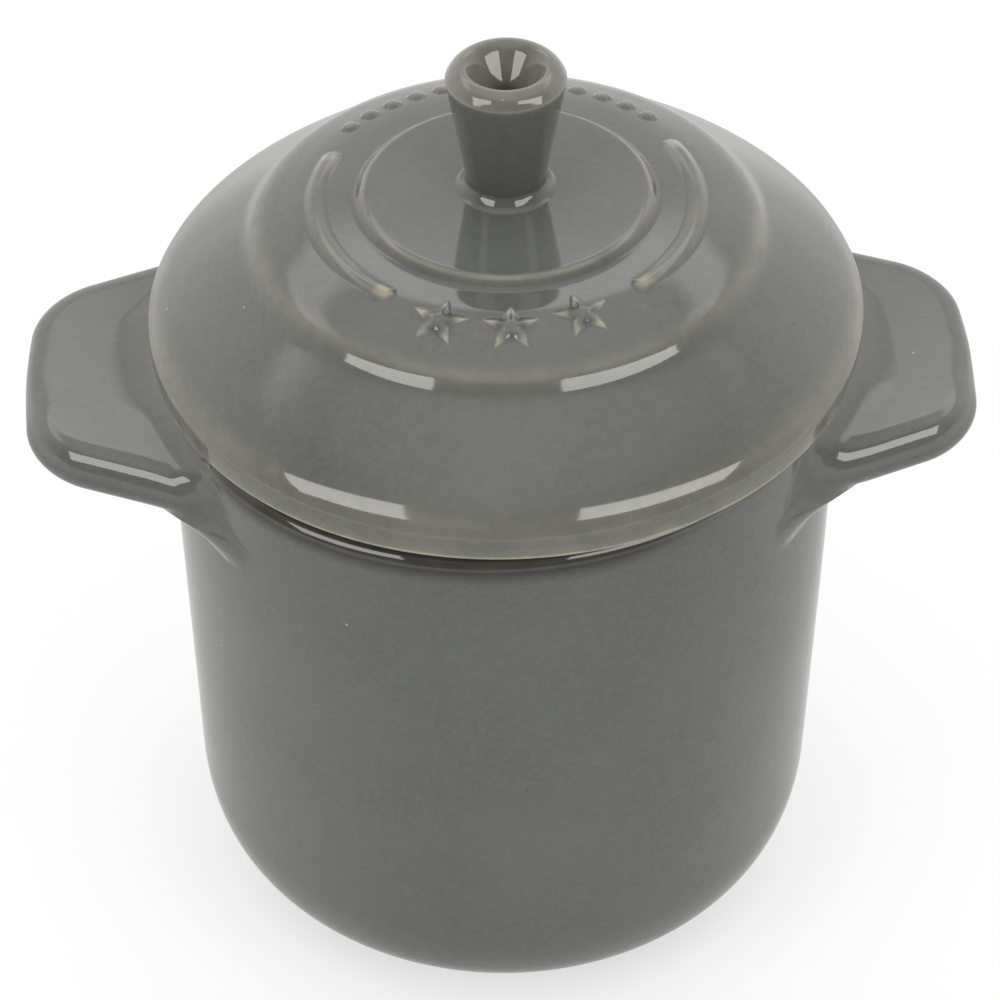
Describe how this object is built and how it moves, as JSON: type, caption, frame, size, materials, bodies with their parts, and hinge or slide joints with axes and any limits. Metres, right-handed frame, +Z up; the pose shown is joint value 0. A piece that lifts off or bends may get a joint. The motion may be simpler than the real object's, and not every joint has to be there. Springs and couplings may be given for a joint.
{
  "type": "mini cocotte",
  "caption": "Small straight-sided glazed stoneware pot with lug handles and a lift-off domed lid with raised arcs, stars and a hollow flared knob, for baking and serving a single portion.",
  "frame": {"origin": "on the ground under the pot's centre", "axes": "+Z up along the pot's axis, the lugs point along X, the front with the stars is -Y"},
  "size_m": [0.1362, 0.1004, 0.1411],
  "materials": {
    "grey_glaze": "gloss",
    "bare_clay": "matte"
  },
  "bodies": {
    "pot": {"pot_body": "grey_glaze", "foot_ring": "bare_clay", "left_handle": "grey_glaze", "right_handle": "grey_glaze"},
    "lid_carrier": {"lid_ring": "grey_glaze"},
    "lid": {"lid_shell": "grey_glaze", "lid_knob": "grey_glaze", "left_arc": "grey_glaze", "right_arc": "grey_glaze", "left_star": "grey_glaze", "middle_star": "grey_glaze", "right_star": "grey_glaze", "bead_row": "grey_glaze"}
  },
  "joints": [
    {"name": "lid_lift", "type": "slide", "parent": "pot", "child": "lid_carrier", "axis": [0, 0, 1], "range_m": [0, 0.06]},
    {"name": "lid_turn", "type": "hinge", "parent": "lid_carrier", "child": "lid", "pos_m": [0, 0, 0.0954], "axis": [0, 0, 1], "continuous": true}
  ]
}
